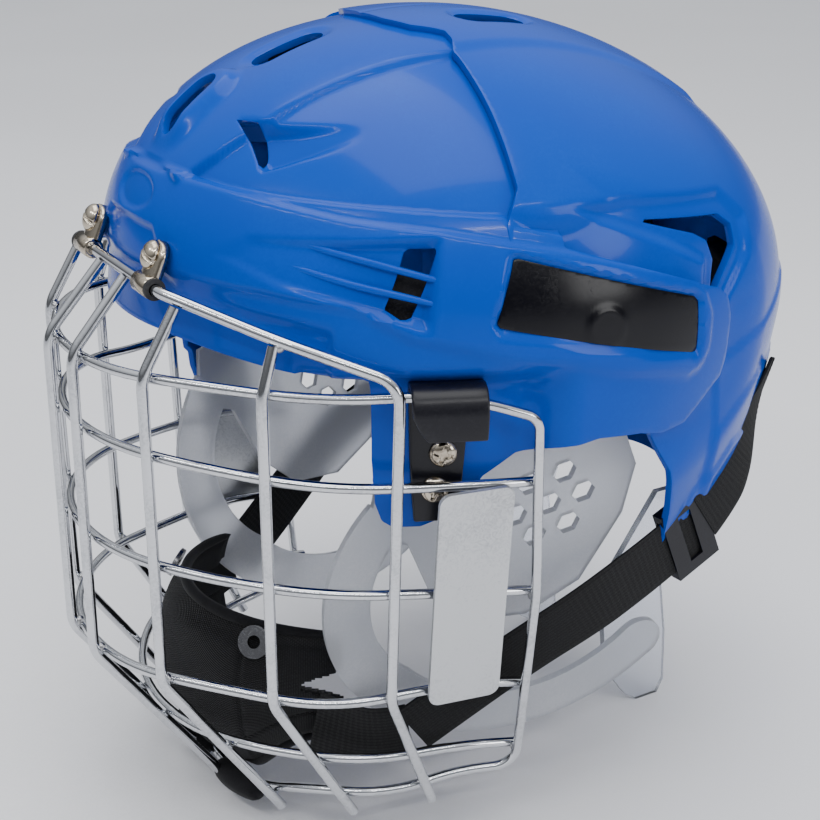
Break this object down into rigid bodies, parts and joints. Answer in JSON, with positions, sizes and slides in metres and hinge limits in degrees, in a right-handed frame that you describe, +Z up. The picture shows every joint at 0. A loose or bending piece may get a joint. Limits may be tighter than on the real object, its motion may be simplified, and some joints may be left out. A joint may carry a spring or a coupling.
{
  "type": "ice hockey helmet with hinged wire cage",
  "caption": "Ice hockey helmet: two-part blue shell, hinged chromed wire face cage, ear guards, chin cup and adjustable chin strap.",
  "frame": {"origin": "middle of the footprint, on the surface that the cage's lower wire ends and the rear tabs stand on", "axes": "+Z up through the crown, the face looks along -Y, the wearer's left is +X"},
  "size_m": [0.2264, 0.2882, 0.2919],
  "materials": {
    "shell_blue": "glossy injection-moulded shell",
    "inset_black": "satin black inset",
    "foam_black": "closed-cell foam, fine grain",
    "chrome_wire": "polished plated wire with weld marks",
    "zinc_plate": "dull zinc-plated sheet",
    "frosted_guard": "frosted translucent plastic",
    "clear_tab": "clear plastic",
    "hook_black": "moulded black plastic",
    "nickel": "nickel-plated, warm tint",
    "clip_steel": "nickel-plated pressed steel",
    "grommet_rubber": "black rubber",
    "cup_fabric": "black knitted cover over foam",
    "webbing_black": "ribbed webbing",
    "adjuster_black": "moulded slide adjuster"
  },
  "bodies": {
    "helmet": {"front_shell": "shell_blue", "side_panel_left": "inset_black", "side_panel_right": "inset_black", "size_lock_left": "nickel", "size_lock_right": "nickel", "brow_pad": "foam_black", "crown_pad": "foam_black", "temple_pad_left": "foam_black", "temple_pad_right": "foam_black", "ear_guard_left": "frosted_guard", "ear_guard_right": "frosted_guard", "side_clip_left": "hook_black", "side_clip_right": "hook_black", "side_clip_screws_left": "nickel", "side_clip_screws_right": "nickel", "brow_clip_left": "clip_steel", "brow_clip_right": "clip_steel", "brow_screw_left": "nickel", "brow_screw_right": "nickel", "grommet_left": "grommet_rubber", "grommet_right": "grommet_rubber", "neck_strap_left": "webbing_black", "neck_strap_right": "webbing_black"},
    "rear_half": {"rear_shell": "shell_blue", "rear_crown_pad": "foam_black", "rear_pad_left": "foam_black", "rear_pad_right": "foam_black", "rear_tab_left": "clear_tab", "rear_tab_right": "clear_tab"},
    "cage": {"brow_wire": "chrome_wire", "rim_wire": "chrome_wire", "upright_1_left": "chrome_wire", "upright_1_right": "chrome_wire", "upright_2_left": "chrome_wire", "upright_2_right": "chrome_wire", "upright_3_left": "chrome_wire", "upright_3_right": "chrome_wire", "cross_wire_2": "chrome_wire", "cross_wire_3": "chrome_wire", "cross_wire_4": "chrome_wire", "cross_wire_5": "chrome_wire", "side_plate_left": "zinc_plate", "side_plate_right": "zinc_plate", "chin_cup": "cup_fabric", "chin_snaps": "nickel", "cheek_strap_left": "webbing_black", "cheek_strap_right": "webbing_black"},
    "adjuster_left": {"strap_adjuster_left": "adjuster_black"},
    "adjuster_right": {"strap_adjuster_right": "adjuster_black"}
  },
  "joints": [
    {"name": "cage_flip", "type": "hinge", "parent": "helmet", "child": "cage", "pos_m": [0, -0.1195, 0.2138], "axis": [-1, 0, 0], "range_deg": [0, 100], "deforming": ["neck_strap_left", "neck_strap_right"]},
    {"name": "shell_size", "type": "slide", "parent": "helmet", "child": "rear_half", "axis": [0, 1, 0], "range_m": [-0.008, 0.004]},
    {"name": "strap_slide_left", "type": "slide", "parent": "helmet", "child": "adjuster_left", "axis": [-0.0444, 0.9226, 0.3832], "range_m": [-0.01, 0]},
    {"name": "strap_slide_right", "type": "slide", "parent": "helmet", "child": "adjuster_right", "axis": [0.0444, 0.9226, 0.3832], "range_m": [-0.01, 0]}
  ]
}
